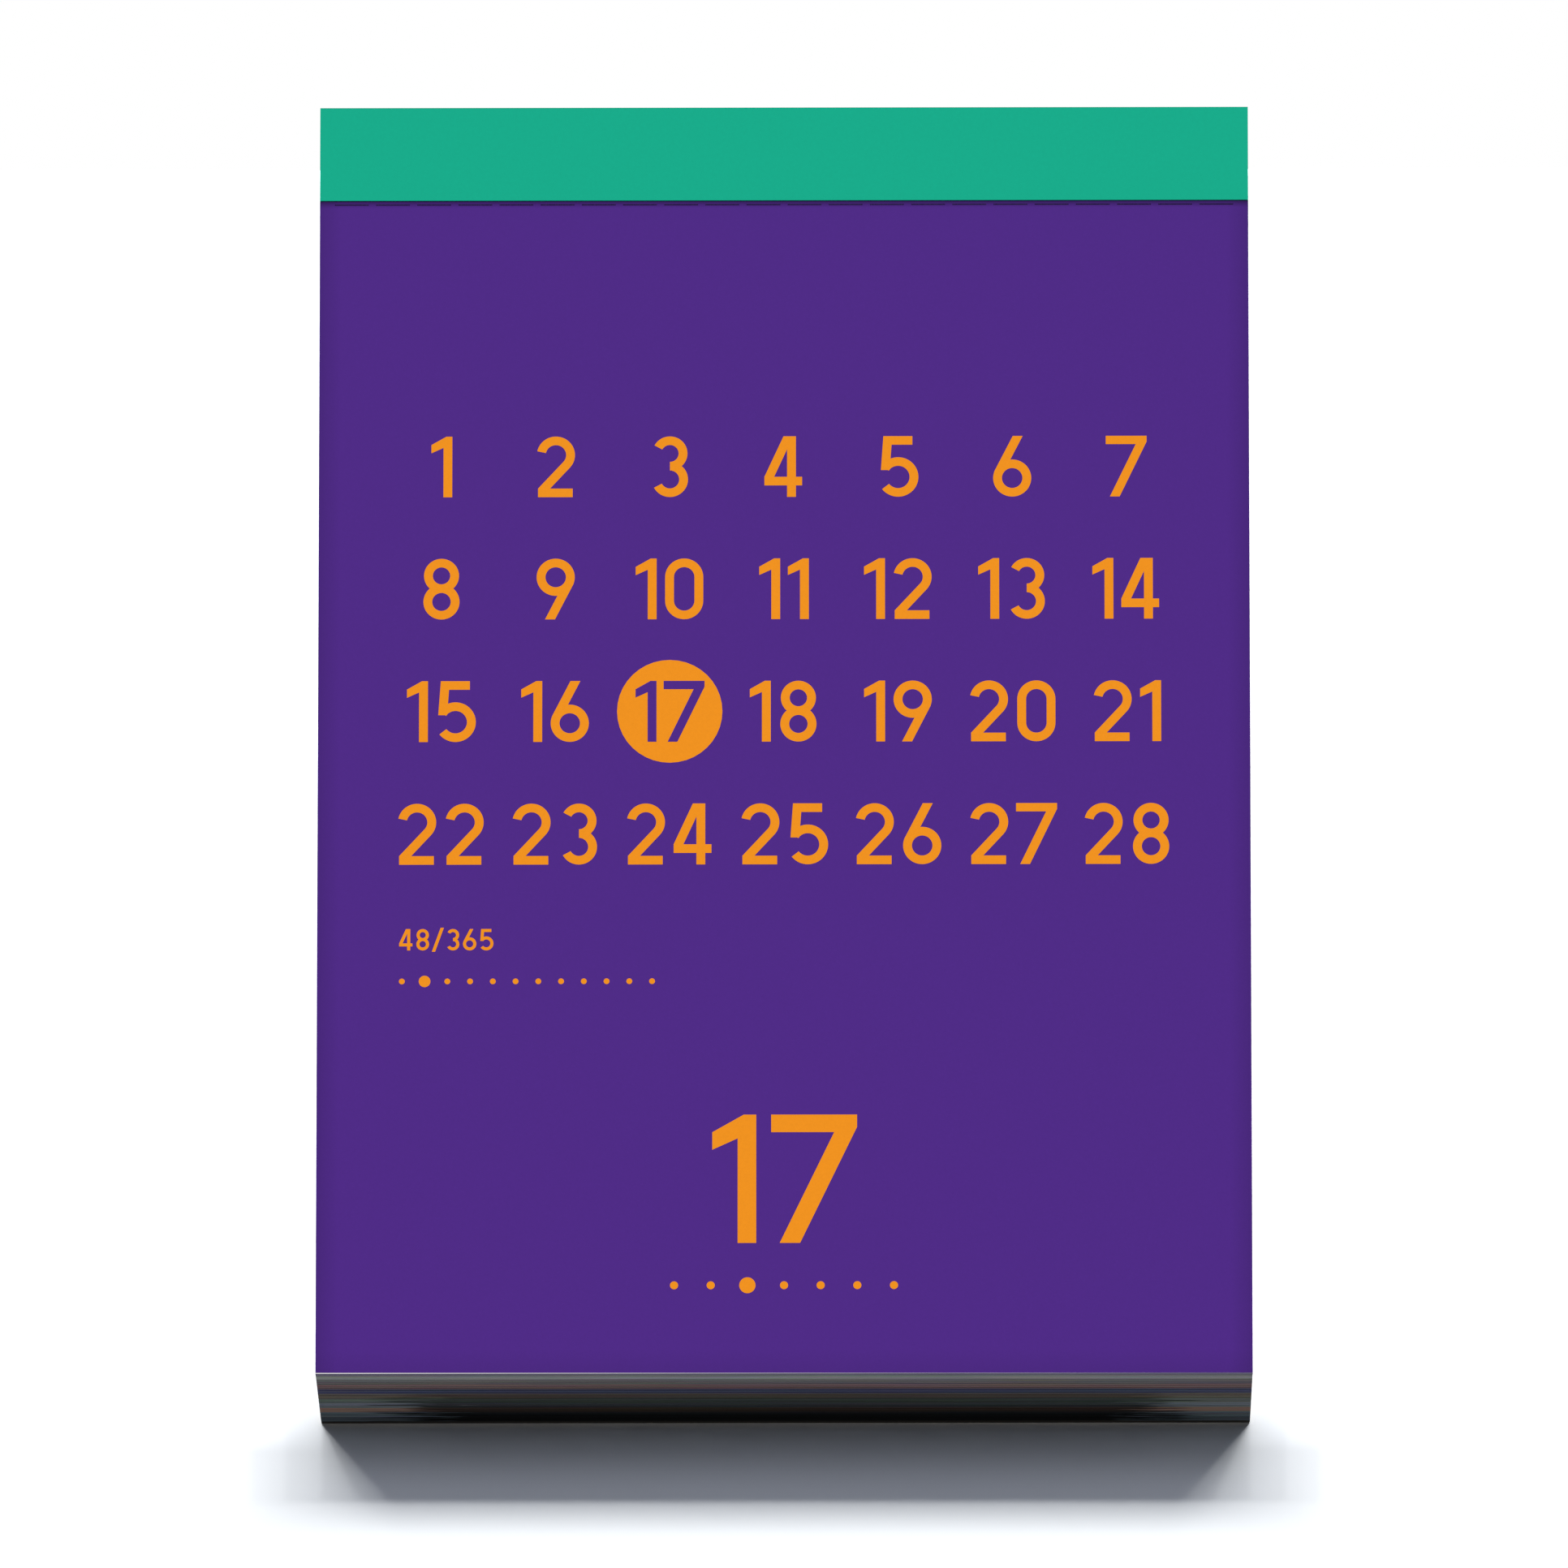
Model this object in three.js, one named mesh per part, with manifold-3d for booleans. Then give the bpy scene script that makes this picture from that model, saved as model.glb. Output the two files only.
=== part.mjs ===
// Tear-off day calendar: a thick block of perforated day leaves on a greyboard back, glued and
// stapled at the head and wrapped there by a paper band. The board has a nail hole and a strut.
// Millimetres, +Z up. The printed side faces -Y, the foot lies on Z = 0, and X = 0 is the middle.

import * as THREE from 'three';
import { mergeVertices } from 'three/addons/utils/BufferGeometryUtils.js';
import Module from 'manifold-3d';

const wasm = await Module();
wasm.setup();

// Whole calendar
const calendarWidth = 115;
const calendarHeight = 160;

// Day leaves, from the leaf in front to the last day of the year
const leafThickness = 0.095;
const frontDay = 17;
const februaryDays = 28;
const monthPacks = [
  { name: 'march', days: 31, color: '#acaeb0' },
  { name: 'april', days: 30, color: '#848184' },
  { name: 'may', days: 31, color: '#846f70' },
  { name: 'june', days: 30, color: '#50556f' },
  { name: 'july', days: 31, color: '#736a64' },
  { name: 'august', days: 31, color: '#66706c' },
  { name: 'september', days: 30, color: '#727a80' },
  { name: 'october', days: 31, color: '#7a675c' },
  { name: 'november', days: 30, color: '#565e66' },
  { name: 'december', days: 31, color: '#434a52' },
];
const detachedDays = [frontDay, frontDay + 1];

// Perforation under the band: knife slits with a paper tie between each two
const tearLineBelowBand = 0.5;
const slitLength = 4.2;
const slitHeight = 0.12;
const tieLength = 0.9;

// Band and glue at the head
const bandThickness = 0.2;
const bandFrontHeight = 11.9;
const bandRearHeight = 15;
const bandFoldSegments = 3;
const glueThickness = 0.2;

// Flat-wire staples, driven in from behind
const stapleSpacing = 64;
const stapleHeightBelowHead = 7;
const stapleCrownLength = 14;
const wireThickness = 0.9;
const wireWidth = 1.2;
const stapleShoulderRadius = 1.3;
const staplePointLength = 1.4;
const staplePointFlat = 0.3;
const stapleTipSetback = 0.6;
const stapleClearance = 0.1;

// Greyboard back with its nail hole
const boardThickness = 1.5;
const nailHeadDiameter = 9;
const nailShankWidth = 4.2;
const nailSlotLength = 7;
const nailHoleBelowBand = 10;

// Strut, die-cut out of the board and creased at its top
const creaseBelowNailHole = 12.5;
const strutTopWidth = 44;
const strutFootWidth = 58;
const strutFootHeight = 5.3;
const strutCornerRadius = 6;
const thumbNotchRadius = 9;
const dieCutKerf = 0.3;

// Colours and finishes
const purplePaper = { color: '#502d86', roughness: 0.55, metalness: 0 };
const greenBandPaper = { color: '#16ae8b', roughness: 0.6, metalness: 0 };
const greyboard = { color: '#988d7d', roughness: 0.9, metalness: 0 };
const driedGlue = { color: '#e8e2d2', roughness: 0.35, metalness: 0 };
const zincWire = { color: '#b9bcc0', roughness: 0.3, metalness: 1 };
const paperRoughness = 0.7;

// Fineness of the meshes
const arcDivisions = 8;
const sewingDistance = 1e-5;
const cutOverrun = 1;

// Places along Y, counted back from the front face of the front leaf
const leafCount = februaryDays - frontDay + 1 + monthPacks.reduce((sum, pack) => sum + pack.days, 0);
const calendarDepth = leafCount * leafThickness + boardThickness + 2 * bandThickness;
const leafFront = bandThickness - calendarDepth / 2;
const leafPlane = (leavesInFront) => leafFront + leavesInFront * leafThickness;
const boardFront = leafPlane(leafCount);
const boardRear = calendarDepth / 2 - bandThickness;

// Places along Z
const leafTop = calendarHeight - bandThickness - glueThickness;
const bandLowerEdge = calendarHeight - bandFrontHeight;
const bandRearEdge = calendarHeight - bandRearHeight;
const tearLine = bandLowerEdge - tearLineBelowBand;
const stapleHeight = leafTop - stapleHeightBelowHead;
const nailHoleCentre = bandRearEdge - nailHoleBelowBand;
const creaseHeight = nailHoleCentre - nailHeadDiameter / 2 - creaseBelowNailHole;
const halfWidth = calendarWidth / 2;

// Staple legs and the number of leaves that their points stop behind
const februaryLeaves = februaryDays - frontDay + 1;
const stapleTip = leafPlane(februaryLeaves) + stapleTipSetback;
const legOffset = (stapleCrownLength - wireThickness) / 2;
const stapleCentres = [-stapleSpacing / 2, stapleSpacing / 2];

// Helpers: solids between exact planes, so that neighbours meet face to face

// Points of an outline without the ones that an arc repeats where it meets its neighbour.
function withoutRepeats(points) {
  return points.filter((point, i) => point.distanceTo(points.at(i - 1)) > sewingDistance);
}

function placedExtrusion(shape, place) {
  const outline = new THREE.Shape(withoutRepeats(shape.getPoints(arcDivisions)));
  const geometry = new THREE.ExtrudeGeometry(outline, { depth: 1, bevelEnabled: false });
  const position = geometry.getAttribute('position');
  for (let i = 0; i < position.count; i += 1) {
    position.setXYZ(i, ...place(position.getX(i), position.getY(i), position.getZ(i)));
  }
  geometry.deleteAttribute('normal');
  geometry.deleteAttribute('uv');
  return mergeVertices(geometry, sewingDistance);
}

// A sheet whose outline lies in X and Z, from its front plane to its rear plane.
function sheet(outline, front, rear) {
  return placedExtrusion(outline, (u, v, w) => [u, w < 0.5 ? rear : front, v]);
}

// A section in Y and Z that runs across the whole width.
function crosswise(section) {
  return placedExtrusion(section, (u, v, w) => [w < 0.5 ? -halfWidth : halfWidth, u, v]);
}

// A flat outline in X and Y, between two heights.
function upright(outline, low, high) {
  return placedExtrusion(outline, (u, v, w) => [u, v, w < 0.5 ? low : high]);
}

function rectangle(left, right, low, high) {
  return new THREE.Shape([
    new THREE.Vector2(left, low),
    new THREE.Vector2(right, low),
    new THREE.Vector2(right, high),
    new THREE.Vector2(left, high),
  ]);
}

function toSolid(geometry) {
  const positions = geometry.getAttribute('position').array;
  const mesh = new wasm.Mesh({
    numProp: 3,
    vertProperties: new Float32Array(positions),
    triVerts: new Uint32Array(geometry.index.array),
  });
  return new wasm.Manifold(mesh);
}

function toGeometry(solid) {
  const mesh = solid.getMesh();
  const geometry = new THREE.BufferGeometry();
  geometry.setAttribute('position', new THREE.BufferAttribute(mesh.vertProperties, 3));
  geometry.setIndex(new THREE.BufferAttribute(mesh.triVerts, 1));
  return geometry;
}

function cut(geometry, cutters) {
  const whole = toSolid(geometry);
  return toGeometry(cutters.reduce((rest, cutter) => rest.subtract(toSolid(cutter)), whole));
}

function piece(name, geometry, finish) {
  const flat = geometry.toNonIndexed();
  flat.computeVertexNormals();
  const mesh = new THREE.Mesh(flat, new THREE.MeshStandardMaterial(finish));
  mesh.name = name;
  return mesh;
}

// Perforation

function slitCentres() {
  const pitch = slitLength + tieLength;
  const count = Math.floor((calendarWidth - tieLength) / pitch);
  return Array.from({ length: count }, (_, i) => (i - (count - 1) / 2) * pitch);
}

// Knife blades that cut the slits of whole leaves, from one plane to another.
function slitBlades(front, rear) {
  return slitCentres().map((centre) => {
    const left = centre - slitLength / 2;
    const right = centre + slitLength / 2;
    return sheet(rectangle(left, right, tearLine - slitHeight / 2, tearLine + slitHeight / 2), front, rear);
  });
}

// A row of half slits along the tear line, to the right, bitten into one side of the paper.
function tornEdge(side) {
  const bite = tearLine + (side * slitHeight) / 2;
  return slitCentres().flatMap((centre) => {
    const left = centre - slitLength / 2;
    const right = centre + slitLength / 2;
    return [
      new THREE.Vector2(left, tearLine),
      new THREE.Vector2(left, bite),
      new THREE.Vector2(right, bite),
      new THREE.Vector2(right, tearLine),
    ];
  });
}

// The day leaf under the tear line, which comes away.
function detachableLeaf(front, rear) {
  const outline = new THREE.Shape([
    new THREE.Vector2(-halfWidth, 0),
    new THREE.Vector2(halfWidth, 0),
    new THREE.Vector2(halfWidth, tearLine),
    ...tornEdge(-1).reverse(),
    new THREE.Vector2(-halfWidth, tearLine),
  ]);
  return sheet(outline, front, rear);
}

// What stays behind under the band once that leaf is torn off.
function leafStub(front, rear) {
  const outline = new THREE.Shape([
    new THREE.Vector2(-halfWidth, leafTop),
    new THREE.Vector2(-halfWidth, tearLine),
    ...tornEdge(1),
    new THREE.Vector2(halfWidth, tearLine),
    new THREE.Vector2(halfWidth, leafTop),
  ]);
  return sheet(outline, front, rear);
}

// Whole leaves, one or many, with the slits right through them and any other holes.
function wholeLeaves(front, rear, holes = []) {
  const paper = sheet(rectangle(-halfWidth, halfWidth, 0, leafTop), front, rear);
  return cut(paper, [...slitBlades(front - cutOverrun, rear + cutOverrun), ...holes]);
}

// Staples

// The holes that the staples' legs pierce, from one plane to another.
function legHoles(front, rear) {
  const halfX = wireThickness / 2 + stapleClearance;
  const halfZ = wireWidth / 2 + stapleClearance;
  return stapleCentres.flatMap((centre) =>
    [-legOffset, legOffset].map((offset) => {
      const x = centre + offset;
      const outline = rectangle(x - halfX, x + halfX, stapleHeight - halfZ, stapleHeight + halfZ);
      return sheet(outline, front - cutOverrun, rear + cutOverrun);
    }),
  );
}

// Crown along X flush with the board's rear face, round shoulders, legs forward to chisel points.
function staple(centre) {
  const outer = stapleCrownLength / 2;
  const inner = outer - wireThickness;
  const innerRadius = stapleShoulderRadius - wireThickness;
  const shoulder = boardRear - stapleShoulderRadius;
  const underCrown = boardRear - wireThickness;
  const pointStart = stapleTip + staplePointLength;
  const outerBend = outer - stapleShoulderRadius;
  const innerBend = inner - innerRadius;
  const innerShoulder = underCrown - innerRadius;
  const outline = new THREE.Shape();
  outline.moveTo(centre - outer, shoulder);
  outline.lineTo(centre - outer, pointStart);
  outline.lineTo(centre - inner - staplePointFlat, stapleTip);
  outline.lineTo(centre - inner, stapleTip);
  outline.lineTo(centre - inner, innerShoulder);
  outline.absarc(centre - innerBend, innerShoulder, innerRadius, Math.PI, Math.PI / 2, true);
  outline.lineTo(centre + innerBend, underCrown);
  outline.absarc(centre + innerBend, innerShoulder, innerRadius, Math.PI / 2, 0, true);
  outline.lineTo(centre + inner, stapleTip);
  outline.lineTo(centre + inner + staplePointFlat, stapleTip);
  outline.lineTo(centre + outer, pointStart);
  outline.lineTo(centre + outer, shoulder);
  outline.absarc(centre + outerBend, shoulder, stapleShoulderRadius, 0, Math.PI / 2, false);
  outline.lineTo(centre - outerBend, boardRear);
  outline.absarc(centre - outerBend, shoulder, stapleShoulderRadius, Math.PI / 2, Math.PI, false);
  return upright(outline, stapleHeight - wireWidth / 2, stapleHeight + wireWidth / 2);
}

// Head band and glue

function bandSection() {
  const front = leafFront - bandThickness;
  const rear = boardRear + bandThickness;
  const fold = calendarHeight - bandThickness;
  const section = new THREE.Shape();
  section.moveTo(front, bandLowerEdge);
  section.lineTo(leafFront, bandLowerEdge);
  section.lineTo(leafFront, fold);
  section.lineTo(boardRear, fold);
  section.lineTo(boardRear, bandRearEdge);
  section.lineTo(rear, bandRearEdge);
  section.lineTo(rear, fold);
  addFold(section, boardRear, fold, 0);
  addFold(section, leafFront, fold, Math.PI / 2);
  return section;
}

// A quarter round over one edge of the head, of the band's own thickness.
function addFold(section, y, z, start) {
  for (let i = 1; i <= bandFoldSegments; i += 1) {
    const angle = start + (i / bandFoldSegments) * (Math.PI / 2);
    section.lineTo(y + bandThickness * Math.cos(angle), z + bandThickness * Math.sin(angle));
  }
}

// Back board and strut

// The strut's outline, or its die-cut window when it is grown by the kerf.
function strutOutline(kerf) {
  const top = strutTopWidth / 2 + kerf;
  const foot = strutFootWidth / 2 + kerf;
  const low = strutFootHeight - kerf;
  const radius = strutCornerRadius + kerf;
  const outline = new THREE.Shape();
  outline.moveTo(top, creaseHeight);
  outline.lineTo(-top, creaseHeight);
  roundCorner(outline, [-top, creaseHeight], [-foot, low], [foot, low], radius);
  if (kerf === 0) {
    outline.absarc(0, low, thumbNotchRadius, Math.PI, 0, true);
  }
  roundCorner(outline, [-foot, low], [foot, low], [top, creaseHeight], radius);
  outline.closePath();
  return outline;
}

// An arc of the given radius in the corner between two straight runs.
function roundCorner(outline, from, corner, to, radius) {
  const point = new THREE.Vector2(...corner);
  const back = new THREE.Vector2(...from).sub(point).normalize();
  const ahead = new THREE.Vector2(...to).sub(point).normalize();
  const halfAngle = Math.acos(back.dot(ahead)) / 2;
  const middle = back.clone().add(ahead).normalize().multiplyScalar(radius / Math.sin(halfAngle));
  const centre = point.clone().add(middle);
  const reach = radius / Math.tan(halfAngle);
  const start = back.multiplyScalar(reach).add(point).sub(centre);
  const end = ahead.multiplyScalar(reach).add(point).sub(centre);
  outline.absarc(centre.x, centre.y, radius, start.angle(), end.angle(), false);
}

// A round hole for the nail's head, with a slot above it that drops onto the shank.
function nailHole() {
  const headRadius = nailHeadDiameter / 2;
  const shankRadius = nailShankWidth / 2;
  const slotTop = nailHoleCentre + nailSlotLength;
  const mouth = Math.asin(shankRadius / headRadius);
  const hole = new THREE.Shape();
  hole.absarc(0, nailHoleCentre, headRadius, Math.PI / 2 + mouth, Math.PI / 2 - mouth + 2 * Math.PI, false);
  hole.absarc(0, slotTop - shankRadius, shankRadius, 0, Math.PI, false);
  hole.closePath();
  return hole;
}

function backBoard() {
  const throughBoard = (outline) => sheet(outline, boardFront - cutOverrun, boardRear + cutOverrun);
  return cut(sheet(rectangle(-halfWidth, halfWidth, 0, leafTop), boardFront, boardRear), [
    throughBoard(strutOutline(dieCutKerf)),
    throughBoard(nailHole()),
    ...legHoles(boardFront, boardRear),
    ...stapleCentres.map(crownRecess),
  ]);
}

// The groove that the staple's crown presses into the rear face of the board.
function crownRecess(centre) {
  const halfX = stapleCrownLength / 2 + stapleClearance;
  const halfZ = wireWidth / 2 + stapleClearance;
  const outline = rectangle(centre - halfX, centre + halfX, stapleHeight - halfZ, stapleHeight + halfZ);
  return sheet(outline, boardRear - wireThickness - stapleClearance, boardRear + cutOverrun);
}

// Assembly

function addDayLeaves(calendar) {
  for (let day = frontDay; day <= februaryDays; day += 1) {
    const front = leafPlane(day - frontDay);
    const rear = leafPlane(day - frontDay + 1);
    if (detachedDays.includes(day)) {
      calendar.add(piece(`leaf_${day}`, detachableLeaf(front, rear), purplePaper));
      calendar.add(piece(`leaf_${day}_stub`, leafStub(front, rear), purplePaper));
    } else {
      calendar.add(piece(`leaf_${day}`, wholeLeaves(front, rear), purplePaper));
    }
  }
}

function addMonthPacks(calendar) {
  let leavesInFront = februaryLeaves;
  for (const pack of monthPacks) {
    const front = leafPlane(leavesInFront);
    const rear = leafPlane(leavesInFront + pack.days);
    const finish = { color: pack.color, roughness: paperRoughness, metalness: 0 };
    calendar.add(piece(`${pack.name}_leaves`, wholeLeaves(front, rear, legHoles(front, rear)), finish));
    leavesInFront += pack.days;
  }
}

function addHead(calendar) {
  const glueOutline = rectangle(-halfWidth, halfWidth, leafTop, leafTop + glueThickness);
  calendar.add(piece('head_glue', sheet(glueOutline, leafFront, boardRear), driedGlue));
  calendar.add(piece('head_band', crosswise(bandSection()), greenBandPaper));
  calendar.add(piece('staple_left', staple(stapleCentres[0]), zincWire));
  calendar.add(piece('staple_right', staple(stapleCentres[1]), zincWire));
}

function addBack(calendar) {
  calendar.add(piece('back_board', backBoard(), greyboard));
  calendar.add(piece('easel_strut', sheet(strutOutline(0), boardFront, boardRear), greyboard));
}

const calendar = new THREE.Group();
addDayLeaves(calendar);
addMonthPacks(calendar);
addHead(calendar);
addBack(calendar);

export default calendar;
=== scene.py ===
# Tear-off day calendar: the finish of its paper, board and print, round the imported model.
# Metres, +Z up. The printed side faces -Y and the foot of the block lies on Z = 0.
import math
import random

import bmesh
import bpy
from mathutils import Matrix, Vector


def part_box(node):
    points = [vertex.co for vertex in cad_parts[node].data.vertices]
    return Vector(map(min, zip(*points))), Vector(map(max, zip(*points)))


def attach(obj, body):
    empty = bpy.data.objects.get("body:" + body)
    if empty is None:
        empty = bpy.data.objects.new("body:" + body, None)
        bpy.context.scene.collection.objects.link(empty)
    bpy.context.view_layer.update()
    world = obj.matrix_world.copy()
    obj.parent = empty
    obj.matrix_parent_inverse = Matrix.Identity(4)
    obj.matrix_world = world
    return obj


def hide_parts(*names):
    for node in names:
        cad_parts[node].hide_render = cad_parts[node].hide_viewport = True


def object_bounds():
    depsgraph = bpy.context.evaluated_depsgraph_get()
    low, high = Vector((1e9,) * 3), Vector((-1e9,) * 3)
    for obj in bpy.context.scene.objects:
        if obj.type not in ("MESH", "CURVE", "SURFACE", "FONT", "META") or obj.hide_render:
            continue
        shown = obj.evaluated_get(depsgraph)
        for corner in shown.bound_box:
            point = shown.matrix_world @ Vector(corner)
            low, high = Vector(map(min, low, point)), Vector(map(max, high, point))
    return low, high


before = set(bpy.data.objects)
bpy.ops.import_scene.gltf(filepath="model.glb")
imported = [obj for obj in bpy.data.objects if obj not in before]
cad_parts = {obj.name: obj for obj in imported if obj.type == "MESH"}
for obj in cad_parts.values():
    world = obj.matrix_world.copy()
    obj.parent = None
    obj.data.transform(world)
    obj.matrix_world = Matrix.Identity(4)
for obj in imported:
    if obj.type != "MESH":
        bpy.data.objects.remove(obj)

cad_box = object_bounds()

MM = 0.001

# Colours, as they look on a screen
PURPLE_INK = "#4C2584"
ORANGE_INK = "#F19218"
BARE_PAPER = "#EBE8E4"
LEAF_EDGE = "#7B788E"
GREEN_PAPER = "#00AA88"
# A darker green, painted shade in the fold of the band
GREEN_FOLD_SHADE = "#0B7A63"
GREYBOARD = "#988D7D"
GREYBOARD_FLECK = "#61594F"
ZINC_WIRE = "#B9BCC0"
DRIED_GLUE = "#E8E2D2"
WHITE = "#FFFFFF"

# Months behind the front one: their days, and the tint of their edges: the colour that full-bleed
# print gives them, made darker toward December in part as painted shade toward the board
LATER_MONTHS = {
    "march": (31, "#ACAEB0"),
    "april": (30, "#848184"),
    "may": (31, "#846F70"),
    "june": (30, "#50556F"),
    "july": (31, "#736A64"),
    "august": (31, "#66706C"),
    "september": (30, "#727A80"),
    "october": (31, "#7A675C"),
    "november": (30, "#565E66"),
    "december": (31, "#434A52"),
}
JANUARY_DAYS = 31
FEBRUARY_DAYS = 28
DAYS_IN_YEAR = JANUARY_DAYS + FEBRUARY_DAYS + sum(days for days, _ in LATER_MONTHS.values())
DAYS_IN_WEEK = 7
MONTHS_IN_YEAR = 12
FRONT_DAY = 17
FRONT_MONTH = 2
DAY_OF_YEAR = JANUARY_DAYS + FRONT_DAY

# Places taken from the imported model. No box in it ends where the band does in front, so that
# comes from the tear line, on which the front leaf ends.
TEAR_LINE_BELOW_BAND = 0.5 * MM
LEAF_LOW, LEAF_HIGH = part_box(f"leaf_{FRONT_DAY}")
BAND_LOW, BAND_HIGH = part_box("head_band")
LEAF_THICKNESS = LEAF_HIGH.y - LEAF_LOW.y
HALF_WIDTH = LEAF_HIGH.x
BAND_EDGE = LEAF_HIGH.z + TEAR_LINE_BELOW_BAND


# Materials

def linear(code):
    """An sRGB hex colour as linear red, green, blue and alpha."""
    channels = [int(code[i:i + 2], 16) / 255 for i in (1, 3, 5)]
    return [c / 12.92 if c <= 0.04045 else ((c + 0.055) / 1.055) ** 2.4 for c in channels] + [1.0]


def node(tree, kind, inputs=None, **settings):
    """Adds a node with its settings; an input is a value, a socket, or a node with its first output."""
    made = tree.nodes.new("ShaderNode" + kind)
    for name, value in settings.items():
        setattr(made, name, value)
    for name, value in (inputs or {}).items():
        if isinstance(value, bpy.types.Node):
            value = value.outputs[0]
        if isinstance(value, bpy.types.NodeSocket):
            tree.links.new(value, made.inputs[name])
        else:
            made.inputs[name].default_value = value
    return made


def new_material(name):
    """An empty material and its node tree."""
    material = bpy.data.materials.new(name)
    material.use_nodes = True
    material.node_tree.nodes.clear()
    return material, material.node_tree


def toned(tree, colour, shade):
    """A colour, fixed or from a node, made paler or darker by a shade."""
    tone = node(tree, "CombineXYZ", {0: shade, 1: shade, 2: shade})
    return node(tree, "Mix", {0: 1.0, 6: colour, 7: tone}, data_type="RGBA", blend_type="MULTIPLY").outputs[2]


# Where noise is cut off at either end, so that it uses the whole of a range of shades
FIBRE_NOISE_LOW, FIBRE_NOISE_HIGH = 0.25, 0.75
STREAK_NOISE_LOW, STREAK_NOISE_HIGH = 0.3, 0.7


def paper_fibres(tree, coordinates, grain, contrast):
    """A mottle round 1 from the fibres of a sheet, grains of the given size in metres."""
    noise = node(tree, "TexNoise", {0: coordinates, "Scale": 1 / grain, "Detail": 4.0, "Roughness": 0.6})
    return node(tree, "MapRange", {
        0: noise, 1: FIBRE_NOISE_LOW, 2: FIBRE_NOISE_HIGH, 3: 1 - contrast, 4: 1 + contrast,
    })


def own_shade(tree, coordinates, thickness, contrast):
    """A shade round 1 for each layer of the block, layers of the given thickness in metres."""
    place = node(tree, "SeparateXYZ", {0: coordinates}).outputs["Y"]
    layers = node(tree, "Math", {0: place, 1: thickness}, operation="DIVIDE")
    number = node(tree, "Math", {0: layers}, operation="FLOOR")
    draw = node(tree, "TexWhiteNoise", {"W": number}, noise_dimensions="1D")
    return node(tree, "MapRange", {0: draw, 3: 1 - contrast, 4: 1 + contrast})


def cut_streaks(tree, coordinates, length, thickness):
    """Noise drawn out along the cut, as grey from 0 to 1 and in colour: long thin streaks."""
    along = (1 / length, 1 / thickness, 1 / length)
    stretched = node(tree, "Mapping", {0: coordinates, "Scale": along})
    return node(tree, "TexNoise", {0: stretched, "Scale": 1.0, "Detail": 3.0})


# Cut edges of the leaves
LEAF_CONTRAST = 0.2
SECTION_LEAVES = 11
SECTION_CONTRAST = 0.2
STREAK_LENGTH = 28 * MM
STREAK_THICKNESS = 0.25 * MM
STREAK_CONTRAST = 0.16


def leaf_streaks(tree, coordinates):
    """Cut paper seen from the edge: leaves and gathered sections differ, in long soft streaks."""
    leaves = own_shade(tree, coordinates, LEAF_THICKNESS, LEAF_CONTRAST)
    sections = own_shade(tree, coordinates, SECTION_LEAVES * LEAF_THICKNESS, SECTION_CONTRAST)
    streaks = cut_streaks(tree, coordinates, STREAK_LENGTH, STREAK_THICKNESS)
    drawn = node(tree, "MapRange", {
        0: streaks, 1: STREAK_NOISE_LOW, 2: STREAK_NOISE_HIGH, 3: 1 - STREAK_CONTRAST, 4: 1 + STREAK_CONTRAST,
    })
    both = node(tree, "Math", {0: leaves, 1: sections}, operation="MULTIPLY")
    return node(tree, "Math", {0: both, 1: drawn}, operation="MULTIPLY")


# The normal of a leaf's printed side or back has more of Y than this, and that of a cut edge less
FLAT_ON = 0.5


def bare_behind(tree, place, fibres, edges):
    """The colour of a leaf's cut edges, and of bare paper on the side that faces the board."""
    facing = node(tree, "SeparateXYZ", {0: place.outputs["Normal"]}).outputs["Y"]
    behind = node(tree, "Math", {0: facing, 1: FLAT_ON}, operation="GREATER_THAN")
    bare = toned(tree, linear(BARE_PAPER), fibres)
    return node(tree, "Mix", {0: behind, 6: edges, 7: bare}, data_type="RGBA").outputs[2]


# The painted shade of the foot: how far up the sides it reaches, where it begins and is deepest
# on the way to the board, and how deep it gets
FOOT_HEIGHT = 0.4 * MM
PAINTED_SHADE_FROM, PAINTED_SHADE_TO = -4.5 * MM, 11 * MM
PAINTED_SHADE_LOWEST = 0.15
PAINTED_SHADE_POWER = 2.2

# The ends of the foot, which begin in broken streaks and grow paler toward the board
ENDS_FROM, ENDS_TO = HALF_WIDTH - 13 * MM, HALF_WIDTH - 8 * MM
BREAK_LENGTH = 9 * MM
BREAK_THICKNESS = 0.5 * MM
BREAK_REACH = 7 * MM
PALE_FROM, PALE_TO = -9 * MM, 1 * MM
PALE_HIGHEST = 1.6


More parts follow.
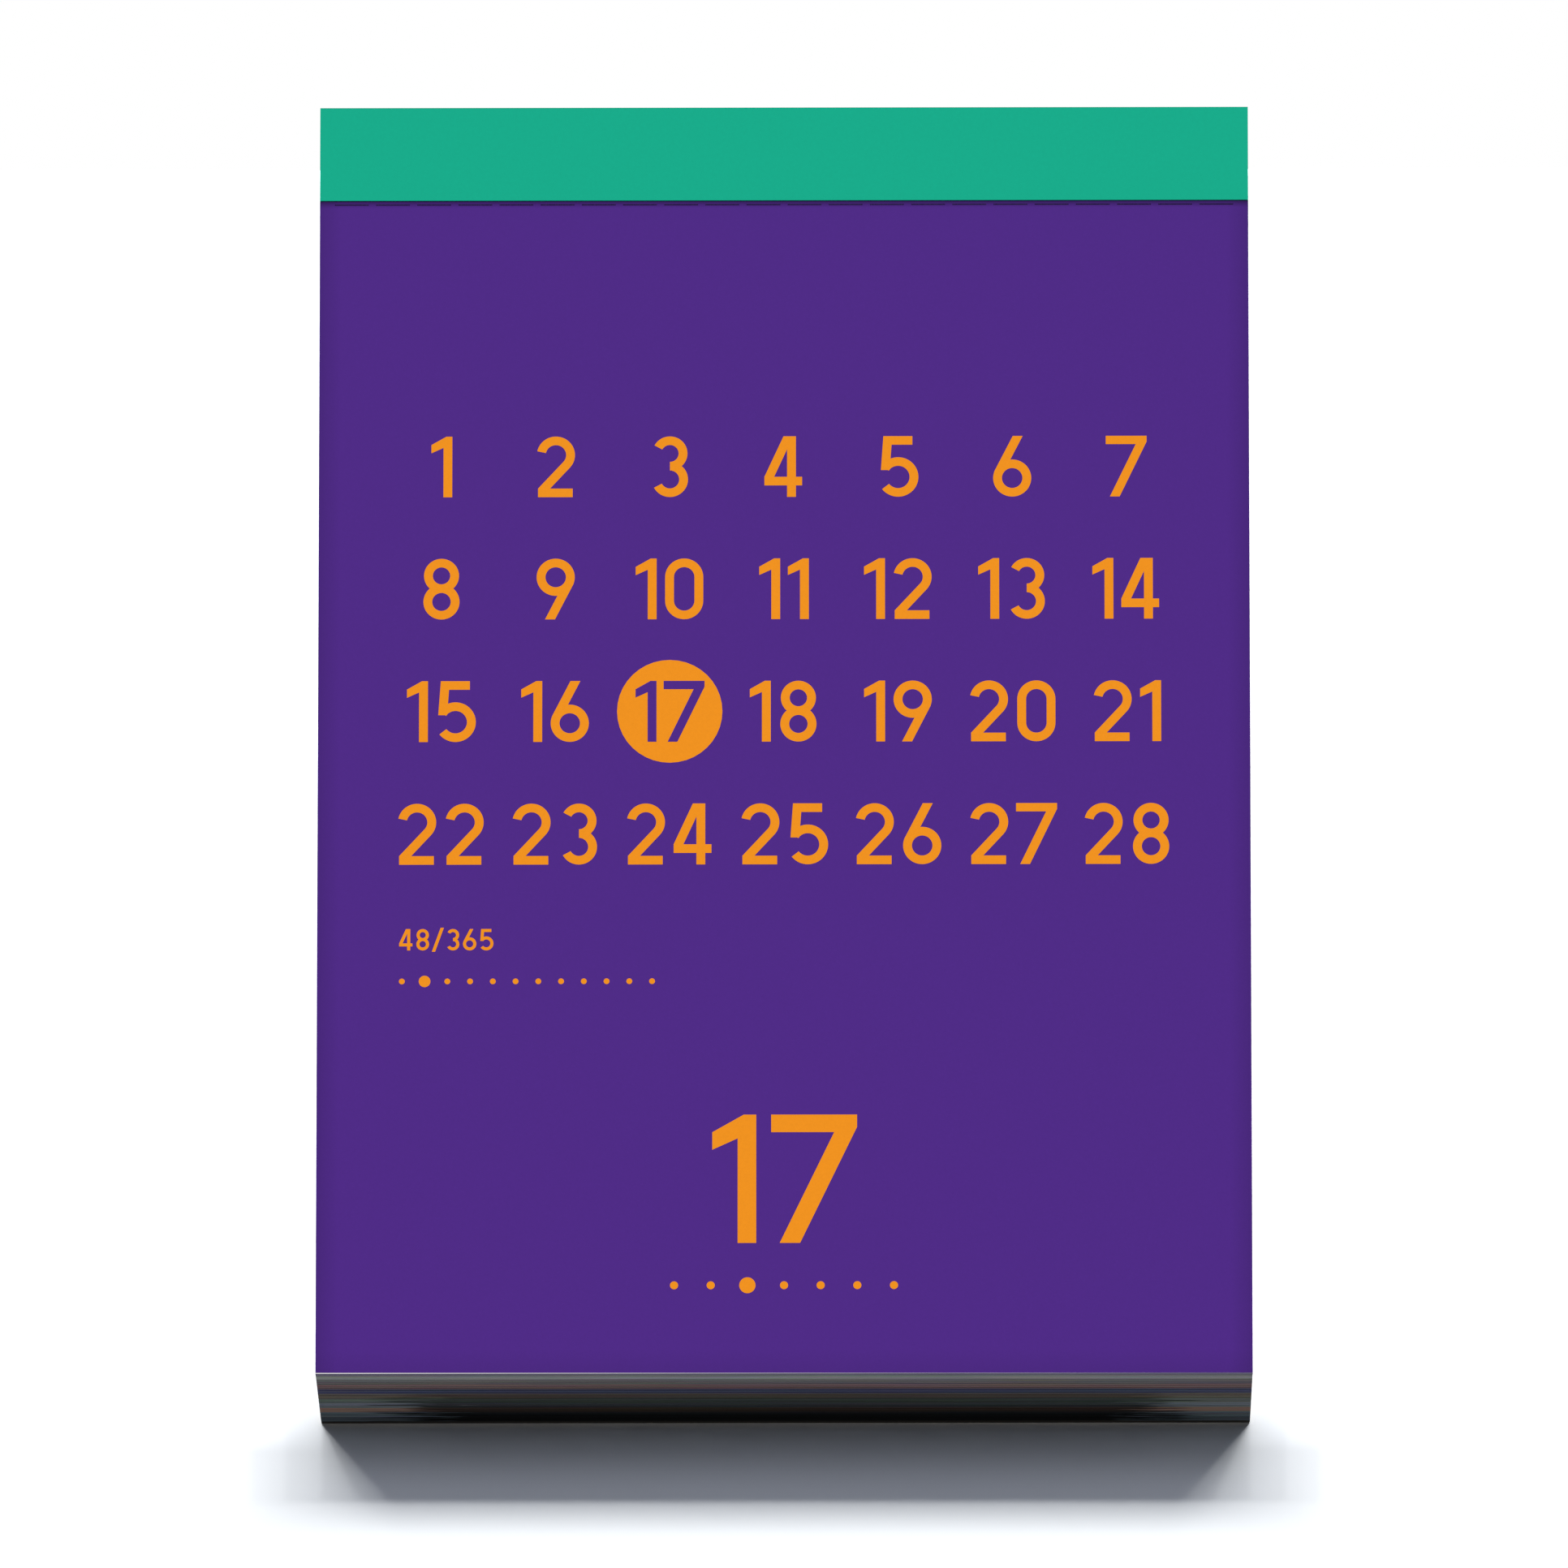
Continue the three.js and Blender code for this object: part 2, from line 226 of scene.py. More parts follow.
def foot_dulling(tree, coordinates, ends):
    """A painted shade on the foot, on which the block stands: it falls from 1 toward the board.

    Only the given share of it reaches the ends of the foot. It stops there in broken streaks, and
    the ends beyond them grow paler toward the board.
    """
    at = node(tree, "SeparateXYZ", {0: coordinates})
    # Painted shade: the foot grows darker toward the board
    depth = node(tree, "MapRange", {0: at.outputs["Y"], 1: PAINTED_SHADE_FROM, 2: PAINTED_SHADE_TO, 3: 1.0, 4: PAINTED_SHADE_LOWEST})
    painted_shade = node(tree, "Math", {0: depth, 1: PAINTED_SHADE_POWER}, operation="POWER")
    foot = node(tree, "Math", {0: at.outputs["Z"], 1: FOOT_HEIGHT}, operation="LESS_THAN")
    breaks = cut_streaks(tree, coordinates, BREAK_LENGTH, BREAK_THICKNESS)
    shift = node(tree, "MapRange", {
        0: breaks, 1: STREAK_NOISE_LOW, 2: STREAK_NOISE_HIGH, 3: -BREAK_REACH, 4: BREAK_REACH,
    })
    side = node(tree, "Math", {0: at.outputs["X"]}, operation="ABSOLUTE")
    broken = node(tree, "Math", {0: side, 1: shift}, operation="ADD")
    middle = node(tree, "MapRange", {0: broken, 1: ENDS_FROM, 2: ENDS_TO, 3: 1.0, 4: ends})
    pale = node(tree, "MapRange", {0: at.outputs["Y"], 1: PALE_FROM, 2: PALE_TO, 3: 1.0, 4: PALE_HIGHEST})
    # The painted shade in the middle of the foot, giving way near the ends to their paler tone
    shade_and_pale_ends = node(tree, "Mix", {0: middle, 2: pale, 3: painted_shade})
    return node(tree, "Mix", {0: foot, 2: 1.0, 3: shade_and_pale_ends})


# Leaf paper: its clumps of fibres, the painted shade of its ink toward the trimmed edges, and the
# painted shadow of the band just under the band
PAPER_GRAIN = 0.35 * MM
PAPER_CONTRAST = 0.03
SIDE_EDGE_WIDTH = 2.7 * MM
SIDE_EDGE_PAINTED_SHADE = 0.79
FOOT_EDGE_WIDTH = 3 * MM
FOOT_EDGE_PAINTED_SHADE = 0.87
BAND_SHADOW_HEIGHT = 0.9 * MM
BAND_SHADOW_DARKEST = 0.3

# The hairline of bare paper at the foot: its height on the left, and how it tapers to the right
WORN_LINE_HEIGHT = 0.088 * MM
WORN_LINE_LEFT, WORN_LINE_RIGHT = 1.0, 0.15
WORN_LINE_POWER = 2.0


def day_leaf_paper(name):
    """80 g uncoated offset paper, one side printed full bleed: velvety ink over fine fibres.

    The ink carries painted shade toward the trimmed edges and a painted shadow of the band just
    under it, and it wears off in a hairline at the foot, which tapers to the right. The back of the
    leaf is bare, and its cut edges show the paper's core, greyed by the ink.
    """
    material, tree = new_material(name)
    place = node(tree, "TexCoord")
    coordinates = place.outputs["Object"]
    at = node(tree, "SeparateXYZ", {0: coordinates})
    facing = node(tree, "SeparateXYZ", {0: place.outputs["Normal"]}).outputs["Y"]
    side = node(tree, "Math", {0: at.outputs["X"]}, operation="ABSOLUTE")
    # Painted shade toward the side edges and the foot of the leaf
    side_edge_shade = node(tree, "MapRange", {
        0: side, 1: HALF_WIDTH - SIDE_EDGE_WIDTH, 2: HALF_WIDTH, 3: 1.0, 4: SIDE_EDGE_PAINTED_SHADE,
    })
    foot_edge_shade = node(tree, "MapRange", {
        0: at.outputs["Z"], 1: 0.0, 2: FOOT_EDGE_WIDTH, 3: FOOT_EDGE_PAINTED_SHADE, 4: 1.0,
    })
    # Painted shadow of the band, darkest at its lower edge and fading over the height below it
    painted_band_shadow = node(tree, "MapRange", {
        0: at.outputs["Z"], 1: BAND_EDGE - BAND_SHADOW_HEIGHT, 2: BAND_EDGE, 3: 1.0, 4: BAND_SHADOW_DARKEST,
    })
    fibres = paper_fibres(tree, coordinates, PAPER_GRAIN, PAPER_CONTRAST)
    # The painted shade of the edges and the band's painted shadow, with the fibres' mottle
    edges = node(tree, "Math", {0: side_edge_shade, 1: foot_edge_shade}, operation="MULTIPLY")
    trimmed = node(tree, "Math", {0: edges, 1: painted_band_shadow}, operation="MULTIPLY")
    shade = node(tree, "Math", {0: trimmed, 1: fibres}, operation="MULTIPLY")
    ink = toned(tree, linear(PURPLE_INK), shade)
    wear = node(tree, "MapRange", {
        0: at.outputs["X"], 1: -HALF_WIDTH, 2: HALF_WIDTH, 3: WORN_LINE_LEFT, 4: WORN_LINE_RIGHT,
    })
    tapered = node(tree, "Math", {0: wear, 1: WORN_LINE_POWER}, operation="POWER")
    worn_height = node(tree, "Math", {0: tapered, 1: WORN_LINE_HEIGHT}, operation="MULTIPLY")
    worn_line = node(tree, "Math", {0: at.outputs["Z"], 1: worn_height}, operation="LESS_THAN")
    printed = node(tree, "Mix", {0: worn_line, 6: ink, 7: linear(BARE_PAPER)}, data_type="RGBA")
    cut = toned(tree, linear(LEAF_EDGE), leaf_streaks(tree, coordinates))
    unprinted = bare_behind(tree, place, fibres, cut)
    in_front = node(tree, "Math", {0: facing, 1: -FLAT_ON}, operation="LESS_THAN")
    colour = node(tree, "Mix", {0: in_front, 6: unprinted, 7: printed.outputs[2]}, data_type="RGBA")
    relief = node(tree, "Bump", {"Strength": 0.12, "Distance": 0.02 * MM, "Height": fibres})
    shader = node(tree, "BsdfPrincipled", {
        "Base Color": colour.outputs[2],
        "Roughness": 0.75,
        "Specular IOR Level": 0.1,
        "Normal": relief,
    })
    node(tree, "OutputMaterial", {0: shader})
    return material


# Months of leaves: streaks in the colour of each leaf's print, the share of them in the tint, and
# the share of the foot's painted shade that reaches its ends
HUE_STREAK_LENGTH = 16 * MM
HUE_STREAK_THICKNESS = 0.6 * MM
HUE_SHARE = 0.4
PAINTED_SHADE_AT_ENDS = 0.2


def leaf_edges(name, tint):
    """Guillotined edges of a month's leaves: bands of shade along the cut, no gloss.

    Each leaf is printed in its own colour, which tinges its edge: rose, blue and olive streaks.
    The back of the last leaf, seen through the board's holes, is bare.
    """
    material, tree = new_material(name)
    place = node(tree, "TexCoord")
    coordinates = place.outputs["Object"]
    streaks = leaf_streaks(tree, coordinates)
    hues = cut_streaks(tree, coordinates, HUE_STREAK_LENGTH, HUE_STREAK_THICKNESS).outputs["Color"]
    tinged = node(tree, "Mix", {
        0: HUE_SHARE, 6: linear(tint), 7: hues,
    }, data_type="RGBA", blend_type="OVERLAY")
    # Painted shade on the foot, deepening toward the board
    foot_shade = foot_dulling(tree, coordinates, PAINTED_SHADE_AT_ENDS)
    shade = node(tree, "Math", {0: streaks, 1: foot_shade}, operation="MULTIPLY")
    cut = toned(tree, tinged.outputs[2], shade)
    fibres = paper_fibres(tree, coordinates, PAPER_GRAIN, PAPER_CONTRAST)
    relief = node(tree, "Bump", {"Strength": 0.3, "Distance": 0.03 * MM, "Height": streaks})
    shader = node(tree, "BsdfPrincipled", {
        "Base Color": bare_behind(tree, place, fibres, cut),
        "Roughness": 0.85,
        "Specular IOR Level": 0.03,
        "Normal": relief,
    })
    node(tree, "OutputMaterial", {0: shader})
    return material


BAND_GRAIN = 0.5 * MM
BAND_CONTRAST = 0.025
# The painted shade in the band's fold: its width, and its share of the darker green
BAND_FOLD_WIDTH = 0.12 * MM
BAND_FOLD_SHADE_SHARE = 0.6


def band_paper(name):
    """Through-dyed cover paper, smooth and matt, with painted shade in the fold along the front of the head.
    """
    material, tree = new_material(name)
    coordinates = node(tree, "TexCoord").outputs["Object"]
    at = node(tree, "SeparateXYZ", {0: coordinates})
    fibres = paper_fibres(tree, coordinates, BAND_GRAIN, BAND_CONTRAST)
    fold_foot = BAND_HIGH.z - BAND_FOLD_WIDTH
    fold_rear = BAND_LOW.y + BAND_FOLD_WIDTH
    # Painted shade along the fold at the front of the head
    upper = node(tree, "Math", {0: at.outputs["Z"], 1: fold_foot}, operation="GREATER_THAN")
    front = node(tree, "Math", {0: at.outputs["Y"], 1: fold_rear}, operation="LESS_THAN")
    fold = node(tree, "Math", {0: upper, 1: front}, operation="MULTIPLY")
    fold_shade = node(tree, "Math", {0: fold, 1: BAND_FOLD_SHADE_SHARE}, operation="MULTIPLY")
    dyed = toned(tree, linear(GREEN_PAPER), fibres)
    colour = node(tree, "Mix", {0: fold_shade, 6: dyed, 7: linear(GREEN_FOLD_SHADE)}, data_type="RGBA")
    relief = node(tree, "Bump", {"Strength": 0.15, "Distance": 0.02 * MM, "Height": fibres})
    shader = node(tree, "BsdfPrincipled", {
        "Base Color": colour.outputs[2],
        "Roughness": 0.7,
        "Specular IOR Level": 0.12,
        "Normal": relief,
    })
    node(tree, "OutputMaterial", {0: shader})
    return material


# Greyboard: felt, broad clouds in it, and flecks, which fade from their core to their rim. Those
# two are shares of the flecks' spacing.
FELT_GRAIN = 0.6 * MM
FELT_CONTRAST = 0.16
CLOUD_SIZE = 9 * MM
CLOUD_CONTRAST = 0.06
FLECK_SPACING = 2.2 * MM
FLECK_CORE, FLECK_RIM = 0.08, 0.16
FLECK_SHARE = 0.5
PAINTED_SHADE_AT_BOARD_ENDS = 1.0


def recycled_greyboard(name):
    """Solid recycled greyboard: a warm grey felt of short fibres with darker flecks, quite matt."""
    material, tree = new_material(name)
    coordinates = node(tree, "TexCoord").outputs["Object"]
    fibres = paper_fibres(tree, coordinates, FELT_GRAIN, FELT_CONTRAST)
    clouds = paper_fibres(tree, coordinates, CLOUD_SIZE, CLOUD_CONTRAST)
    specks = node(tree, "TexVoronoi", {0: coordinates, "Scale": 1 / FLECK_SPACING})
    flecks = node(tree, "MapRange", {0: specks, 1: FLECK_CORE, 2: FLECK_RIM, 3: FLECK_SHARE, 4: 0.0})
    shade = node(tree, "Math", {0: fibres, 1: clouds}, operation="MULTIPLY")
    felt = toned(tree, linear(GREYBOARD), shade)
    speckled = node(tree, "Mix", {0: flecks, 6: felt, 7: linear(GREYBOARD_FLECK)}, data_type="RGBA")
    # Painted shade on the board's foot edge, along the whole of it
    foot_shade = foot_dulling(tree, coordinates, PAINTED_SHADE_AT_BOARD_ENDS)
    relief = node(tree, "Bump", {"Strength": 0.4, "Distance": 0.06 * MM, "Height": shade})
    shader = node(tree, "BsdfPrincipled", {
        "Base Color": toned(tree, speckled.outputs[2], foot_shade),
        "Roughness": 0.88,
        "Specular IOR Level": 0.05,
        "Normal": relief,
    })
    node(tree, "OutputMaterial", {0: shader})
    return material


# Drawn lines of the wire, some ten times coarser than real ones, so that a close view shows them
WIRE_LINE_LENGTH = 2.5 * MM
WIRE_LINE_WIDTH = MM / 24
WIRE_SMOOTHEST, WIRE_ROUGHEST = 0.28, 0.45


def zinc_coated_wire(name):
    """Zinc-coated flat steel wire, drawn lengthwise, so its gleam is broken into fine lines."""
    material, tree = new_material(name)
    coordinates = node(tree, "TexCoord").outputs["Object"]
    along = (1 / WIRE_LINE_LENGTH, 1 / WIRE_LINE_LENGTH, 1 / WIRE_LINE_WIDTH)
    stretched = node(tree, "Mapping", {0: coordinates, "Scale": along})
    lines = node(tree, "TexNoise", {0: stretched, "Scale": 1.0, "Detail": 2.0})
    shader = node(tree, "BsdfPrincipled", {
        "Base Color": linear(ZINC_WIRE),
        "Metallic": 1.0,
        "Roughness": node(tree, "MapRange", {0: lines, 3: WIRE_SMOOTHEST, 4: WIRE_ROUGHEST}),
    })
    node(tree, "OutputMaterial", {0: shader})
    return material


GLUE_RIPPLE_SIZE = 1.5 * MM
GLUE_RIPPLE_CONTRAST = 0.05


def padding_glue(name):
    """White padding glue, dried to a thin rubbery skin with slight ripples."""
    material, tree = new_material(name)
    coordinates = node(tree, "TexCoord").outputs["Object"]
    ripples = paper_fibres(tree, coordinates, GLUE_RIPPLE_SIZE, GLUE_RIPPLE_CONTRAST)
    shader = node(tree, "BsdfPrincipled", {
        "Base Color": toned(tree, linear(DRIED_GLUE), ripples),
        "Roughness": 0.4,
        "Normal": node(tree, "Bump", {"Strength": 0.4, "Distance": 0.05 * MM, "Height": ripples}),
    })
    node(tree, "OutputMaterial", {0: shader})
    return material


def offset_ink(name, code):
    """Offset ink on uncoated paper: flat and even, the paper's fibres just showing through."""
    material, tree = new_material(name)
    coordinates = node(tree, "TexCoord").outputs["Object"]
    fibres = paper_fibres(tree, coordinates, PAPER_GRAIN, PAPER_CONTRAST)
    shader = node(tree, "BsdfPrincipled", {
        "Base Color": toned(tree, linear(code), fibres),
        "Roughness": 0.75,
        "Specular IOR Level": 0.1,
    })
    node(tree, "OutputMaterial", {0: shader})
    return material


# Pieces

def new_object(name, bm, material):
    """Turns a finished bmesh into an object of the scene."""
    mesh = bpy.data.meshes.new(name)
    bm.to_mesh(mesh)
    bm.free()
    mesh.materials.append(material)
    made = bpy.data.objects.new(name, mesh)
    bpy.context.scene.collection.objects.link(made)
    return made


def new_piece(name, bm, material, body):
    """Turns a finished bmesh into a piece that rides on a body."""
    piece = new_object(name, bm, material)
    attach(piece, body)
    return piece


# Block of leaves

# How far back from the cut faces a sheet may lie, and the seed of the draws that place each one
SHEET_MISALIGNMENT = 0.07 * MM
SHEET_SEED = 17


def add_sheet(bm, low, high):
    """A flat box between two corners."""
    place = Matrix.Translation((low + high) / 2) @ Matrix.Diagonal((*(high - low), 1.0))
    bmesh.ops.create_cube(bm, size=1.0, matrix=place)


def month_block(month, days, material, draw):
    """The month's leaves one by one, each a hair back from the guillotined faces."""
    pack = f"{month}_leaves"
    low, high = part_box(pack)
    thickness = (high.y - low.y) / days
    bm = bmesh.new()
    for i in range(days):
        inset = [SHEET_MISALIGNMENT * draw.random() ** 2 for _ in range(3)]
        sheet_low = Vector((low.x + inset[0], low.y + i * thickness, low.z + inset[2]))
        sheet_high = Vector((high.x - inset[1], low.y + (i + 1) * thickness, high.z))
        add_sheet(bm, sheet_low, sheet_high)
    piece = new_piece(f"{month}_sheets", bm, material, "block")
    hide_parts(pack)


# Numerals: a plain sans, 1 high, with strokes of one width, centred on X = 0

STROKE = 0.142
HALF_STROKE = STROKE / 2
NUMERAL_GAP = 0.12
NUMERAL_WIDTHS = {"1": 0.34, "/": 0.5}
USUAL_NUMERAL_WIDTH = 0.64

# Heights of the middle of a level stroke at the top and at the foot of a numeral
TOP = 1 - HALF_STROKE
FOOT = HALF_STROKE

# Radii to the middle of the stroke: of single rounds, and of two that stand one on the other and
# fill the height together
ROUND = 0.235
UPPER_ROUND = ROUND - 0.025
LOWER_ROUND = 0.5 - HALF_STROKE - UPPER_ROUND
FIVE_ROUND = 0.255


def tangent(point, centre, radius, side):
    """Where a straight stroke from a point runs into a round one, and the angle there."""
    x, z = centre[0] - point[0], centre[1] - point[1]
    distance = math.hypot(x, z)
    angle = math.atan2(z, x) - side * math.asin(radius / distance)
    run = math.sqrt(distance ** 2 - radius ** 2)
    touch = (point[0] + run * math.cos(angle), point[1] + run * math.sin(angle))
    return touch, math.degrees(angle) - side * 90


def turned(strokes):
    """The strokes of a numeral turned upside down."""
    result = []
    for kind, *values in strokes:
        values = [(-v[0], 1 - v[1]) if isinstance(v, tuple) else v for v in values]
        if kind == "arc":
            values[2] += 180
        result.append((kind, *values))
    return result


TWO_START = 168
TWO_FOOT = (-0.234, 0.094)
TWO_TOUCH, TWO_ANGLE = tangent(TWO_FOOT, (0, TOP - ROUND), ROUND, 1)
FOUR_BAR = 0.26
SIX_TIP = (0.09, 1)
SIX_TOUCH, _ = tangent(SIX_TIP, (0, FOOT + ROUND), ROUND, 1)
SIX = [("arc", (0, FOOT + ROUND), ROUND, 0, 360), ("slant", SIX_TOUCH, SIX_TIP)]

# A bar has square ends, a slant level ends, a plate any corners; an arc has its centre, radius,
# start and sweep
NUMERALS = {
    "0": [
        ("arc", (0, FOOT + ROUND), ROUND, 180, 180),
        ("bar", (ROUND, FOOT + ROUND), (ROUND, TOP - ROUND)),
        ("arc", (0, TOP - ROUND), ROUND, 0, 180),
        ("bar", (-ROUND, TOP - ROUND), (-ROUND, FOOT + ROUND)),
    ],
    "1": [(
        "plate", (0.026, 0), (0.168, 0), (0.168, 1), (0.072, 1),
        (-0.168, 0.863), (-0.168, 0.726), (0.026, 0.815),
    )],
    "2": [
        ("arc", (0, TOP - ROUND), ROUND, TWO_START, TWO_ANGLE - TWO_START),
        ("bar", TWO_TOUCH, TWO_FOOT),
        ("bar", (-0.286, FOOT), (0.27, FOOT)),
    ],
    "3": [
        ("arc", (0, TOP - UPPER_ROUND), UPPER_ROUND, 152, -242),
        ("arc", (0, FOOT + LOWER_ROUND), LOWER_ROUND, 90, -242),
    ],
    "4": [
        ("slant", (-0.237, FOUR_BAR + HALF_STROKE), (0.07, 1)),
        ("bar", (-0.315, FOUR_BAR), (0.29, FOUR_BAR)),
        ("bar", (0.12, 0), (0.12, 1)),
    ],
    "5": [
        ("bar", (-0.2, TOP), (0.23, TOP)),
        ("slant", (-0.205, 0.44), (-0.165, 1)),
        ("arc", (0, FOOT + FIVE_ROUND), FIVE_ROUND, 146, -288),
    ],
    "6": SIX,
    "7": [(
        "plate", (-0.328, 1), (-0.328, 0.863), (0.153, 0.863),
        (-0.263, 0), (-0.107, 0), (0.328, 0.904), (0.328, 1),
    )],
    "8": [
        ("arc", (0, TOP - UPPER_ROUND), UPPER_ROUND, 0, 360),
        ("arc", (0, FOOT + LOWER_ROUND), LOWER_ROUND, 0, 360),
    ],
    "9": turned(SIX),
    "/": [("slant", (-0.2, -0.06), (0.2, 1.06))],
}


# Print, a film of ink that stands a hair off the paper

INK_THICKNESS = 0.02 * MM
INK_SUNK = 0.005 * MM
INK_SEWING_DISTANCE = 1e-8
ARC_STEP = math.radians(7.5)
FEWEST_ARC_STEPS = 3
DOT_SIDES = 40
TO_THE_READER = Vector((0, -1, 0))

# Each stroke of a numeral stands this much proud of the last, so no two share a plane
STROKE_STEP = 0.002 * MM


def add_arc(bm, centre, radius, start, sweep, half):
    """A ring or part of one, by spinning the stroke's width round the centre."""
    ray = Vector((math.cos(start), 0, math.sin(start)))
    ends = [bm.verts.new(centre + ray * (radius - half)), bm.verts.new(centre + ray * (radius + half))]
    edge = bm.edges.new(ends)
    whole = abs(abs(sweep) - math.tau) < ARC_STEP
    steps = max(FEWEST_ARC_STEPS, round(abs(sweep) / ARC_STEP))
    bmesh.ops.spin(
        bm, geom=[*ends, edge], cent=centre, axis=TO_THE_READER, angle=sweep, steps=steps, use_merge=whole,
    )


def add_plate(bm, corners):
    """A flat face between any number of corners."""
    bm.faces.new([bm.verts.new(corner) for corner in corners])


def to_the_side(kind, run):
    """From the middle of a straight stroke to its side: level for a slant, square on for a bar."""
    if kind == "slant":
        return Vector((HALF_STROKE * run.length / abs(run.z), 0, 0))
    return Vector((-run.z, 0, run.x)).normalized() * HALF_STROKE


def add_stroke(bm, stroke, origin, height):
    """One stroke of a numeral of the given height, whose middle foot stands at the origin."""
    kind, *values = stroke
    points = [Vector((v[0], 0, v[1])) for v in values if isinstance(v, tuple)]
    if kind == "arc":
        radius, start, sweep = values[1:]
        centre = origin + points[0] * height
        add_arc(bm, centre, radius * height, math.radians(start), math.radians(sweep), HALF_STROKE * height)
        return
    if kind != "plate":
        first, second = points
        across = to_the_side(kind, second - first)
        points = [first + across, first - across, second - across, second + across]
    add_plate(bm, [origin + point * height for point in points])


def number_width(text):
    """How wide a number is when it is 1 high."""
    return sum(NUMERAL_WIDTHS.get(c, USUAL_NUMERAL_WIDTH) for c in text) + NUMERAL_GAP * (len(text) - 1)


def add_number(bm, text, middle, height):
    """A number centred on the middle of its foot."""
    x = -number_width(text) / 2
    for character in text:
        width = NUMERAL_WIDTHS.get(character, USUAL_NUMERAL_WIDTH)
        for i, stroke in enumerate(NUMERALS[character]):
            origin = middle + Vector(((x + width / 2) * height, -i * STROKE_STEP, 0))
            add_stroke(bm, stroke, origin, height)
        x += width + NUMERAL_GAP


def add_dot(bm, middle, radius):
    """A round face that looks to the reader."""
    upright = Matrix.Translation(middle) @ Matrix.Rotation(math.pi / 2, 4, "X")
    bmesh.ops.create_circle(bm, cap_ends=True, segments=DOT_SIDES, radius=radius, matrix=upright)


def raise_ink(bm):
    """Gives flat shapes the thickness of an ink film, with its back just inside the paper."""
    bmesh.ops.translate(bm, verts=bm.verts[:], vec=(0, INK_SUNK, 0))
    raised = bmesh.ops.extrude_face_region(bm, geom=bm.faces[:])
    tops = [v for v in raised["geom"] if isinstance(v, bmesh.types.BMVert)]
    bmesh.ops.translate(bm, verts=tops, vec=(0, -INK_SUNK - INK_THICKNESS, 0))
    bmesh.ops.remove_doubles(bm, verts=bm.verts[:], dist=INK_SEWING_DISTANCE)
    bmesh.ops.recalc_face_normals(bm, faces=bm.faces[:])


# Month grid, a week to a row
GRID_HEAD = 110.4 * MM
GRID_ROW_PITCH = 15.5 * MM
GRID_COLUMN_PITCH = 14.1 * MM
GRID_NUMBER_HEIGHT = 7.7 * MM
TODAY_DISC_RADIUS = 6.5 * MM

# Day of the year over its length, and a row of twelve months
COUNT_FOOT = 53.1 * MM
COUNT_LEFT = -47.4 * MM
COUNT_HEIGHT = 2.7 * MM
MONTH_DOTS_HEIGHT = 49.2 * MM
MONTH_DOTS_PITCH = 2.8 * MM
MONTH_DOT_RADIUS = 0.36 * MM

# The day's own number and a row of seven weekdays
DATE_FOOT = 16.3 * MM
DATE_HEIGHT = 16.1 * MM
WEEKDAY_DOTS_HEIGHT = 11.0 * MM
WEEKDAY_DOTS_PITCH = 4.5 * MM
WEEKDAY_DOT_RADIUS = 0.5 * MM
MARKED_DOT_GROWTH = 2.0

# A row for the week is centred on the middle one of its places
MIDDLE_OF_WEEK = DAYS_IN_WEEK // 2


def add_month_grid(bm, marked_bm, disc_bm, day, y):
    """The month's numbers; the day's own one stands on a disc, in the colour of the paper."""
    for number in range(1, FEBRUARY_DAYS + 1):
        row, column = divmod(number - 1, DAYS_IN_WEEK)
        x = (column - MIDDLE_OF_WEEK) * GRID_COLUMN_PITCH
        middle = Vector((x, y, GRID_HEAD - row * GRID_ROW_PITCH))
        if number == day:
            add_dot(disc_bm, middle + Vector((0, 0, GRID_NUMBER_HEIGHT / 2)), TODAY_DISC_RADIUS)
            middle.y -= INK_THICKNESS
            add_number(marked_bm, str(number), middle, GRID_NUMBER_HEIGHT)
        else:
            add_number(bm, str(number), middle, GRID_NUMBER_HEIGHT)


def add_dots(bm, first, pitch, count, marked, radius):
    """A row of dots with one marked by its size."""
    for i in range(count):
        size = radius * (MARKED_DOT_GROWTH if i == marked else 1)
        add_dot(bm, first + Vector((i * pitch, 0, 0)), size)


def print_leaf(day, body, orange, purple):
    """Everything printed on one day's leaf."""
    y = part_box(f"leaf_{day}")[0].y
    main, disc, marked = bmesh.new(), bmesh.new(), bmesh.new()
    add_month_grid(main, marked, disc, day, y)
    count = f"{DAY_OF_YEAR + day - FRONT_DAY}/{DAYS_IN_YEAR}"
    count_middle = COUNT_LEFT + number_width(count) * COUNT_HEIGHT / 2
    add_number(main, count, Vector((count_middle, y, COUNT_FOOT)), COUNT_HEIGHT)
    first_month = Vector((COUNT_LEFT + MONTH_DOT_RADIUS, y, MONTH_DOTS_HEIGHT))
    add_dots(main, first_month, MONTH_DOTS_PITCH, MONTHS_IN_YEAR, FRONT_MONTH - 1, MONTH_DOT_RADIUS)
    add_number(main, str(day), Vector((0, y, DATE_FOOT)), DATE_HEIGHT)
    first_weekday = Vector((-MIDDLE_OF_WEEK * WEEKDAY_DOTS_PITCH, y, WEEKDAY_DOTS_HEIGHT))
    weekday = (day - 1) % DAYS_IN_WEEK
    add_dots(main, first_weekday, WEEKDAY_DOTS_PITCH, DAYS_IN_WEEK, weekday, WEEKDAY_DOT_RADIUS)
    for bm in (main, disc, marked):
        raise_ink(bm)
    new_piece(f"print_{day}", main, orange, body)
    new_piece(f"print_{day}_disc", disc, orange, body)
    new_piece(f"print_{day}_in_disc", marked, purple, body)


# Board and strut

CUT_EDGE_ROUNDING = 0.12 * MM
BOARD_SEWING_DISTANCE = 1e-7

# Edges that turn less than the first angle lie within a flat face, and those that turn more than
# the second are cut edges
FLAT_ANGLE = math.radians(0.5)
RIM_ANGLE = math.radians(60)


